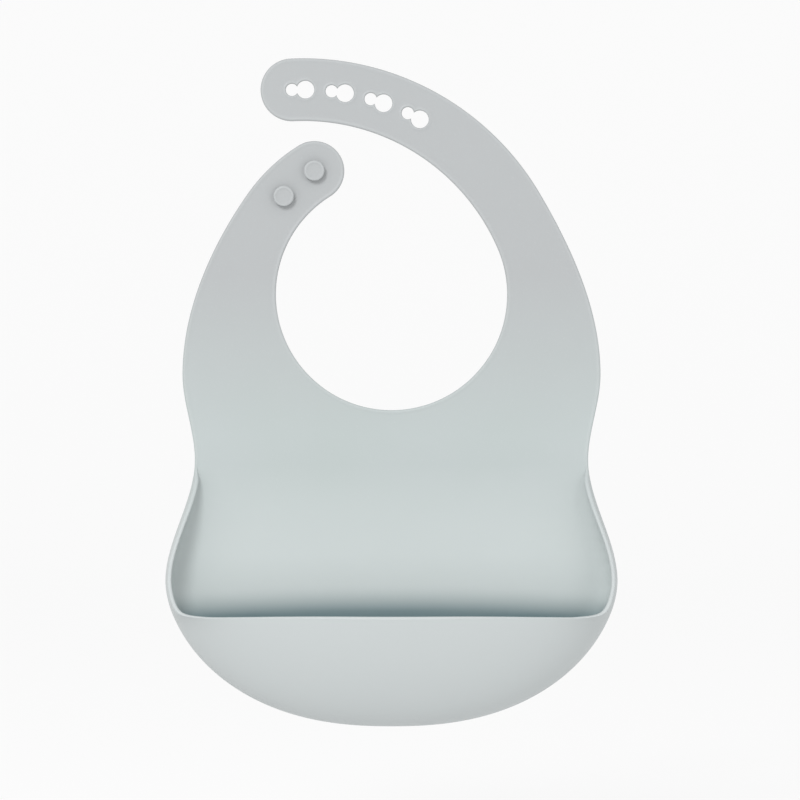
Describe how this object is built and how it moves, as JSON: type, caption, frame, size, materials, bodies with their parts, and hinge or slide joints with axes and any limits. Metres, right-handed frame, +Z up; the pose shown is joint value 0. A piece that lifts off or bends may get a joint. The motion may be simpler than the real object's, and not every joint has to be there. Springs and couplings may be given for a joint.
{
  "type": "silicone bib",
  "caption": "Soft one-piece baby bib: flat sheet with a round neck opening, an adjustable stud and keyhole neck strap, and a scoop pocket that catches food.",
  "frame": {"origin": "centre of the round neck opening, in the middle of the sheet's thickness", "axes": "+X to the right seen from the front, +Y towards the back face, +Z up towards the straps' ends; the bib is upright as worn"},
  "size_m": [0.2256, 0.046, 0.3339],
  "materials": {
    "panel_silicone": "matte",
    "strap_silicone": "matte",
    "stud_silicone": "matte",
    "pocket_silicone": "matte"
  },
  "bodies": {
    "chest": {"chest_panel": "panel_silicone"},
    "stud_strap_root": {"stud_strap_root": "strap_silicone"},
    "stud_strap_tip": {"stud_strap_tip": "strap_silicone", "stud_upper": "stud_silicone", "stud_lower": "stud_silicone"},
    "keyhole_strap_root": {"keyhole_strap_root": "strap_silicone"},
    "keyhole_strap_middle": {"keyhole_strap_middle": "strap_silicone"},
    "keyhole_strap_tip": {"keyhole_strap_tip": "strap_silicone"},
    "pocket": {"pocket_back": "panel_silicone", "pocket_side_left": "pocket_silicone", "pocket_side_right": "pocket_silicone", "pocket_crease": "pocket_silicone"},
    "pocket_front": {"pocket_front": "pocket_silicone"}
  },
  "joints": [
    {"name": "stud_strap_curl", "type": "hinge", "parent": "chest", "child": "stud_strap_root", "pos_m": [-0.07209, 0, 0.01013], "axis": [-0.9903, 0, 0.1392], "range_deg": [-20, 35], "stiffness_Nm_per_rad": 0.08},
    {"name": "stud_strap_tip_curl", "type": "hinge", "parent": "stud_strap_root", "child": "stud_strap_tip", "pos_m": [-0.06367, 0, 0.03529], "axis": [-0.8746, 0, 0.4848], "range_deg": [-20, 35], "stiffness_Nm_per_rad": 0.08},
    {"name": "keyhole_strap_curl", "type": "hinge", "parent": "chest", "child": "keyhole_strap_root", "pos_m": [0.06746, 0, 0.02919], "axis": [-0.9178, 0, -0.3971], "range_deg": [-20, 35], "stiffness_Nm_per_rad": 0.15},
    {"name": "keyhole_strap_middle_curl", "type": "hinge", "parent": "keyhole_strap_root", "child": "keyhole_strap_middle", "pos_m": [0.05037, 0, 0.0574], "axis": [-0.7771, 0, -0.6293], "range_deg": [-20, 35], "stiffness_Nm_per_rad": 0.15},
    {"name": "keyhole_strap_tip_curl", "type": "hinge", "parent": "keyhole_strap_middle", "child": "keyhole_strap_tip", "pos_m": [0.02477, 0, 0.08107], "axis": [-0.5664, 0, -0.8241], "range_deg": [-20, 35], "stiffness_Nm_per_rad": 0.15},
    {"name": "waist_fold", "type": "hinge", "parent": "chest", "child": "pocket", "pos_m": [0, 0, -0.0638], "axis": [-1, 0, 0], "range_deg": [-60, 90], "stiffness_Nm_per_rad": 1},
    {"name": "pocket_lip_flex", "type": "hinge", "parent": "pocket", "child": "pocket_front", "pos_m": [0, -0.004, -0.2145], "axis": [1, 0, 0], "range_deg": [-25, 12], "stiffness_Nm_per_rad": 0.4, "deforming": ["pocket_crease"]}
  ],
  "couplings": [
    {"joint": "stud_strap_tip_curl", "follows": "stud_strap_curl", "ratio": 1},
    {"joint": "keyhole_strap_middle_curl", "follows": "keyhole_strap_curl", "ratio": 1},
    {"joint": "keyhole_strap_tip_curl", "follows": "keyhole_strap_curl", "ratio": 1}
  ]
}
